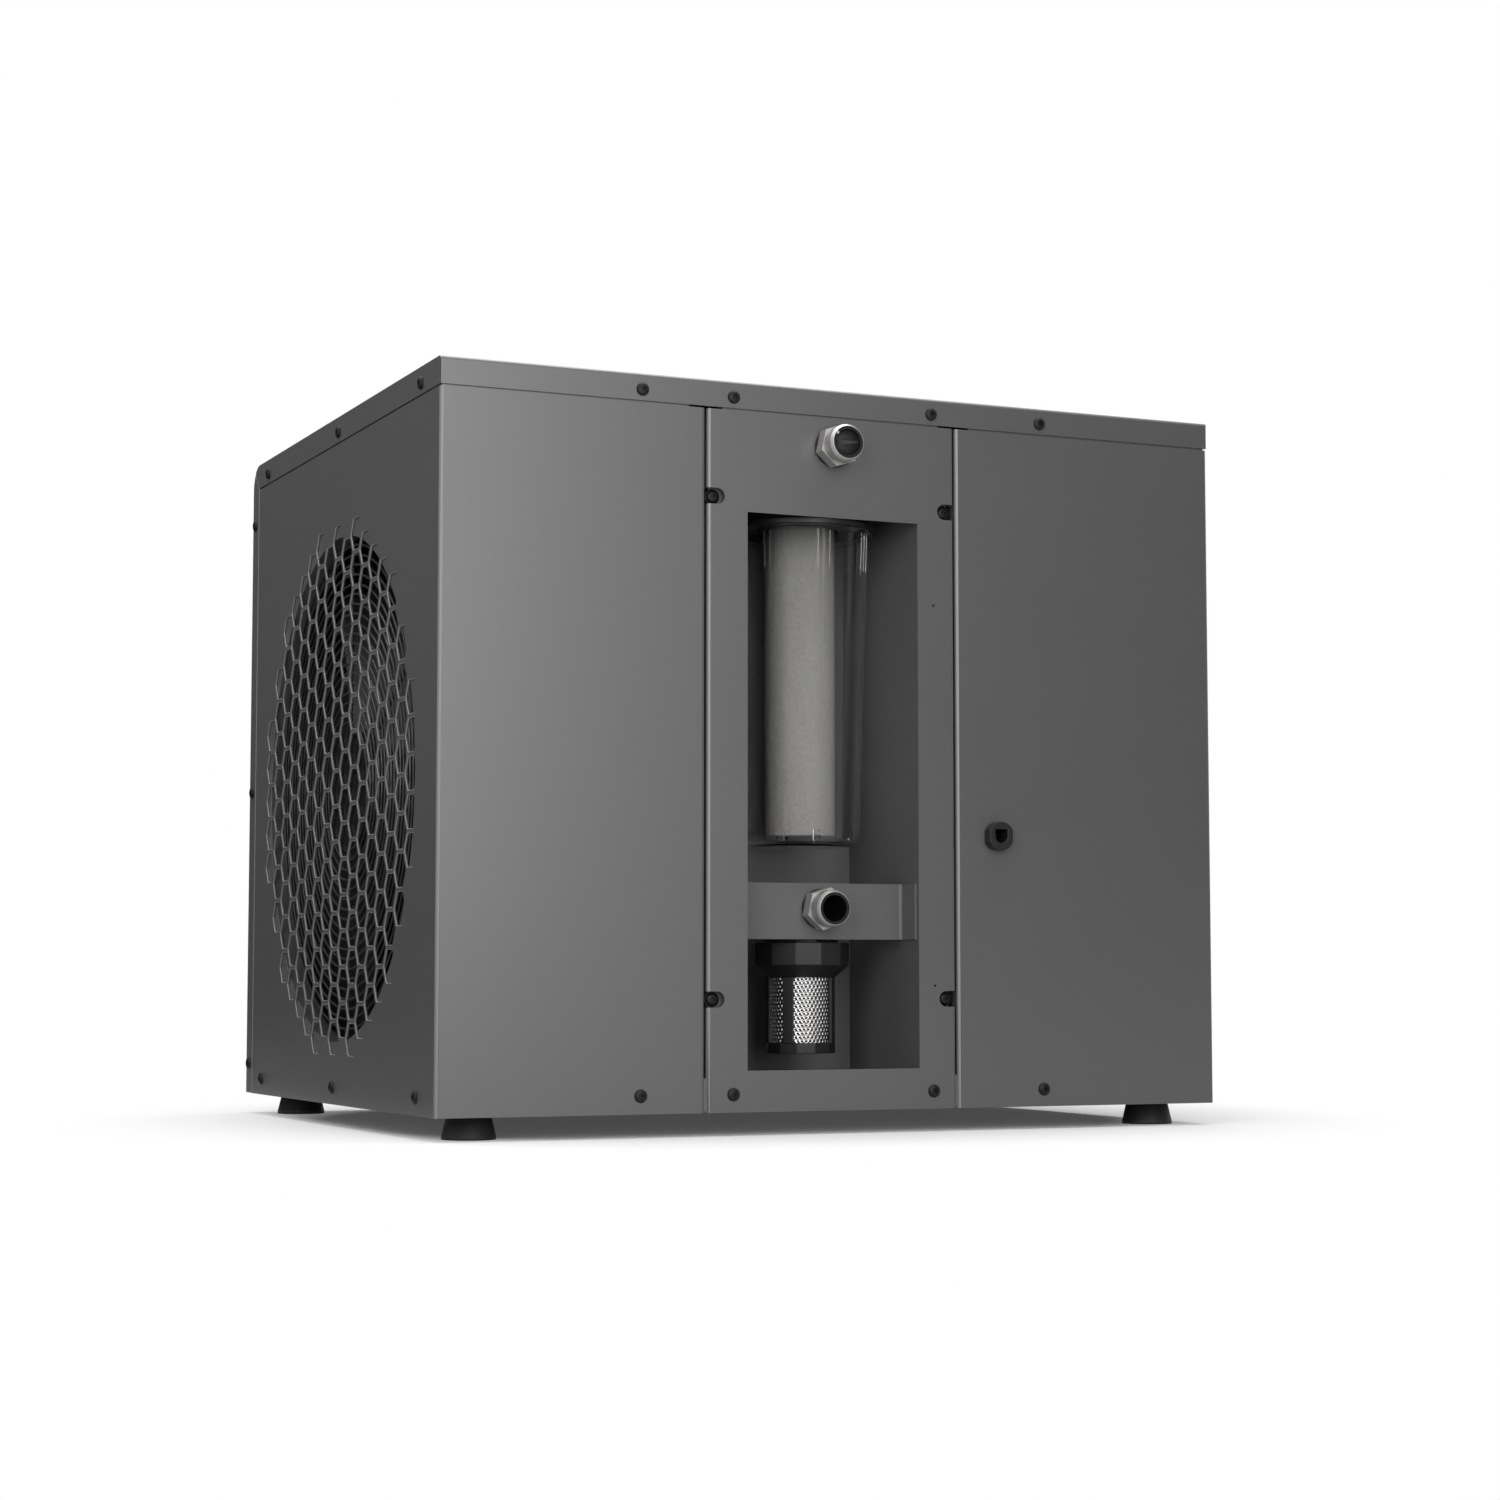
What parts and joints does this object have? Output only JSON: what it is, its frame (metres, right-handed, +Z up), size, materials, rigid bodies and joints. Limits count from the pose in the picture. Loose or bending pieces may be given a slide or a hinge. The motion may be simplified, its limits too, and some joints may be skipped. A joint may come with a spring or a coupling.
{
  "type": "compact water heat pump",
  "caption": "Box-shaped water heat pump on rubber feet, with a hexagon fan grille on its side and a clear water filter, strainer and pipe spigots in an open front bay.",
  "frame": {"origin": "centre of the box round the whole machine, at floor level, under the rubber feet", "axes": "+Z up, the front with the filter bay faces -Y, the fan grille faces -X"},
  "size_m": [0.6054, 0.5134, 0.526],
  "materials": {
    "case_paint": "satin grey powder coat, fine grain",
    "bay_paint": "satin grey powder coat",
    "steel": "satin nickel plate",
    "mesh_steel": "bright rolled stainless",
    "rubber": "matt black",
    "black_plastic": "satin black moulding",
    "clear_plastic": "clear moulded plastic",
    "cartridge": "matt spun fibre",
    "screw_black": "satin black zinc plate",
    "guard_wire": "satin black coat"
  },
  "bodies": {
    "root": {"base_pan": "case_paint", "bay_liner": "bay_paint", "bracket": "bay_paint", "cable_gland": "black_plastic", "elbow": "black_plastic", "fan_guard": "guard_wire", "fan_motor": "guard_wire", "fan_shroud": "bay_paint", "fan_wheel": "guard_wire", "far_left_foot": "rubber", "far_right_foot": "rubber", "filter_bowl": "clear_plastic", "filter_cartridge": "cartridge", "filter_collar": "black_plastic", "filter_head": "black_plastic", "left_panel": "case_paint", "lower_nipple": "steel", "lower_nut": "steel", "lower_seal": "rubber", "near_left_foot": "rubber", "near_right_foot": "rubber", "rear_cover": "case_paint", "right_panel": "case_paint", "service_panel": "case_paint", "strainer_cage": "black_plastic", "strainer_cap": "black_plastic", "strainer_mesh": "mesh_steel", "top_cover": "case_paint", "upper_nipple": "steel", "upper_nut": "steel", "upper_plug": "rubber", "upper_seal": "rubber"}
  },
  "joints": []
}
